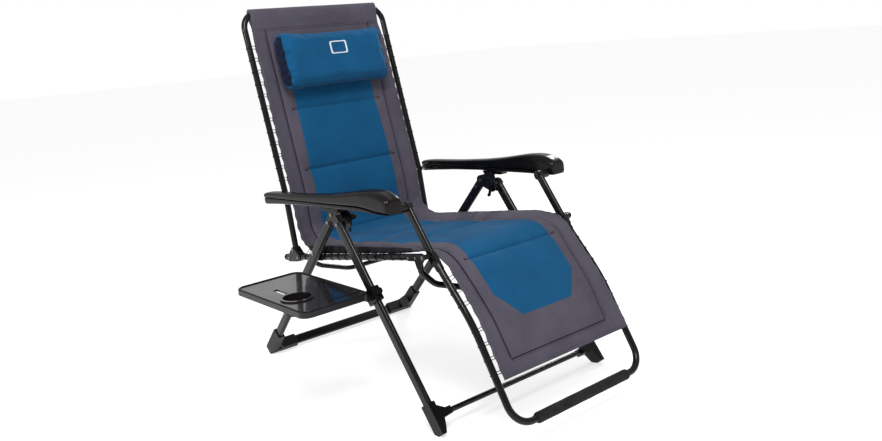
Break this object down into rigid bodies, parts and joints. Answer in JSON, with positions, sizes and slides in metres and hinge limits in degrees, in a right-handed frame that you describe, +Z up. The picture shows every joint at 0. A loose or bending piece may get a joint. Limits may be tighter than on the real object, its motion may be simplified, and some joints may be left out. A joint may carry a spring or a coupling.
{
  "type": "zero gravity recliner",
  "caption": "Folding zero gravity lounge chair: tube frame with padded sling, linked back, seat and leg rest, armrests, head pillow and clamp-on side tray.",
  "frame": {"origin": "on the floor, in the chair's mid plane, midway between the front and the rear feet", "axes": "+Z up, the sitter faces -Y, +X is the sitter's left"},
  "size_m": [0.94, 1.238, 1.203],
  "materials": {
    "frame_tube": "satin black powder-coated steel tube",
    "bracket_steel": "black coated pressed steel",
    "bolt_steel": "dark zinc-plated bolts and pins",
    "black_plastic": "moulded black plastic, slightly glossy",
    "arm_plastic": "polished black moulded armrest",
    "tray_plastic": "glossy black moulded tray",
    "grey_fabric": "grey woven polyester with blue padded centre",
    "blue_fabric": "blue woven polyester",
    "elastic": "black elastic webbing and cord",
    "foam": "black closed-cell foam sleeve"
  },
  "bodies": {
    "base": {"rear_leg_frame": "frame_tube", "apex_bolts": "bolt_steel", "fold_pins": "bolt_steel", "slider_pins": "bolt_steel", "seat_pins": "bolt_steel", "rear_foot_cap_left": "black_plastic", "rear_foot_cap_right": "black_plastic", "apex_bracket_left": "bracket_steel", "apex_bracket_right": "bracket_steel"},
    "front_legs": {"front_crossbar": "frame_tube", "tray_board": "tray_plastic", "tray_cup_ring": "tray_plastic", "tray_clamp": "black_plastic", "front_leg_left": "frame_tube", "front_leg_right": "frame_tube", "front_foot_cap_left": "black_plastic", "front_foot_cap_right": "black_plastic"},
    "tray_screw": {"tray_knob": "black_plastic"},
    "seat": {"rail_plugs": "black_plastic", "rail_bolts": "bolt_steel", "knee_spreader": "frame_tube", "rear_spreader": "frame_tube", "seat_sling": "grey_fabric", "seat_lacing": "elastic", "seat_rail_left": "frame_tube", "seat_rail_right": "frame_tube", "rear_hinge_bracket_left": "bracket_steel", "rear_hinge_bracket_right": "bracket_steel", "front_hinge_bracket_left": "bracket_steel", "front_hinge_bracket_right": "bracket_steel", "seat_pivot_bracket_left": "bracket_steel", "seat_pivot_bracket_right": "bracket_steel"},
    "back": {"back_frame": "frame_tube", "back_pins": "bolt_steel", "arm_rear_pins": "bolt_steel", "back_sling": "grey_fabric", "back_lacing": "elastic"},
    "legrest": {"legrest_frame": "frame_tube", "knee_pins": "bolt_steel", "arm_front_pins": "bolt_steel", "foot_bar_sleeve": "foam", "legrest_sling": "grey_fabric", "upper_link_left": "frame_tube", "upper_link_right": "frame_tube"},
    "head_pillow": {"pillow": "blue_fabric", "pillow_strips": "elastic"},
    "armrest_left": {"armrest_base_left": "arm_plastic", "armrest_pad_left": "arm_plastic"},
    "slider_left": {"slider_block_left": "black_plastic"},
    "lever_left": {"lock_lever_left": "black_plastic"},
    "knob_left": {"lock_knob_left": "black_plastic"},
    "armrest_right": {"armrest_base_right": "arm_plastic", "armrest_pad_right": "arm_plastic"},
    "slider_right": {"slider_block_right": "black_plastic"},
    "lever_right": {"lock_lever_right": "black_plastic"},
    "knob_right": {"lock_knob_right": "black_plastic"}
  },
  "joints": [
    {"name": "seat_pivot", "type": "hinge", "parent": "base", "child": "seat", "pos_m": [0, 0.11, 0.426], "axis": [-1, 0, 0], "range_deg": [0, 16.41]},
    {"name": "knee_hinge", "type": "hinge", "parent": "seat", "child": "legrest", "pos_m": [0, -0.429, 0.488], "axis": [-1, 0, 0], "range_deg": [0, 36]},
    {"name": "back_hinge", "type": "hinge", "parent": "seat", "child": "back", "pos_m": [0, 0.269, 0.412], "axis": [-1, 0, 0], "range_deg": [0, 20.77]},
    {"name": "front_leg_fold", "type": "hinge", "parent": "base", "child": "front_legs", "pos_m": [0, -0.086, 0.548], "axis": [1, 0, 0], "range_deg": [0, 80]},
    {"name": "tray_screw_turn", "type": "hinge", "parent": "front_legs", "child": "tray_screw", "pos_m": [-0.329, -0.25429, 0.3719], "axis": [0, -0.8026, 0.5966], "range_deg": [-90, 90]},
    {"name": "pillow_slide", "type": "slide", "parent": "back", "child": "head_pillow", "axis": [0, 0.2425, 0.9701], "range_m": [-0.25, 0.02]},
    {"name": "armrest_left_hinge", "type": "hinge", "parent": "legrest", "child": "armrest_left", "pos_m": [0, -0.341, 0.614], "axis": [-1, 0, 0], "range_deg": [-40.94, 0]},
    {"name": "slider_left_pivot", "type": "hinge", "parent": "base", "child": "slider_left", "pos_m": [0.322, -0.066, 0.5885], "axis": [-1, 0, 0], "range_deg": [0, 11.47]},
    {"name": "lever_left_pivot", "type": "hinge", "parent": "base", "child": "lever_left", "pos_m": [0.29, -0.086, 0.548], "axis": [1, 0, 0], "range_deg": [-10, 45]},
    {"name": "knob_left_turn", "type": "hinge", "parent": "base", "child": "knob_left", "pos_m": [0.288, -0.106, 0.567], "axis": [1, 0, 0], "range_deg": [-90, 90]},
    {"name": "armrest_right_hinge", "type": "hinge", "parent": "legrest", "child": "armrest_right", "pos_m": [0, -0.341, 0.614], "axis": [-1, 0, 0], "range_deg": [-40.94, 0]},
    {"name": "slider_right_pivot", "type": "hinge", "parent": "base", "child": "slider_right", "pos_m": [-0.322, -0.066, 0.5885], "axis": [-1, 0, 0], "range_deg": [0, 11.47]},
    {"name": "lever_right_pivot", "type": "hinge", "parent": "base", "child": "lever_right", "pos_m": [-0.29, -0.086, 0.548], "axis": [1, 0, 0], "range_deg": [-10, 45]},
    {"name": "knob_right_turn", "type": "hinge", "parent": "base", "child": "knob_right", "pos_m": [-0.288, -0.106, 0.567], "axis": [1, 0, 0], "range_deg": [-90, 90]}
  ],
  "couplings": [
    {"joint": "seat_pivot", "follows": "knee_hinge", "ratio": 0.4556},
    {"joint": "back_hinge", "follows": "knee_hinge", "ratio": 0.5768},
    {"joint": "armrest_left_hinge", "follows": "knee_hinge", "ratio": -1.1372},
    {"joint": "slider_left_pivot", "follows": "knee_hinge", "ratio": 0.3184},
    {"joint": "armrest_right_hinge", "follows": "knee_hinge", "ratio": -1.1372},
    {"joint": "slider_right_pivot", "follows": "knee_hinge", "ratio": 0.3184}
  ]
}
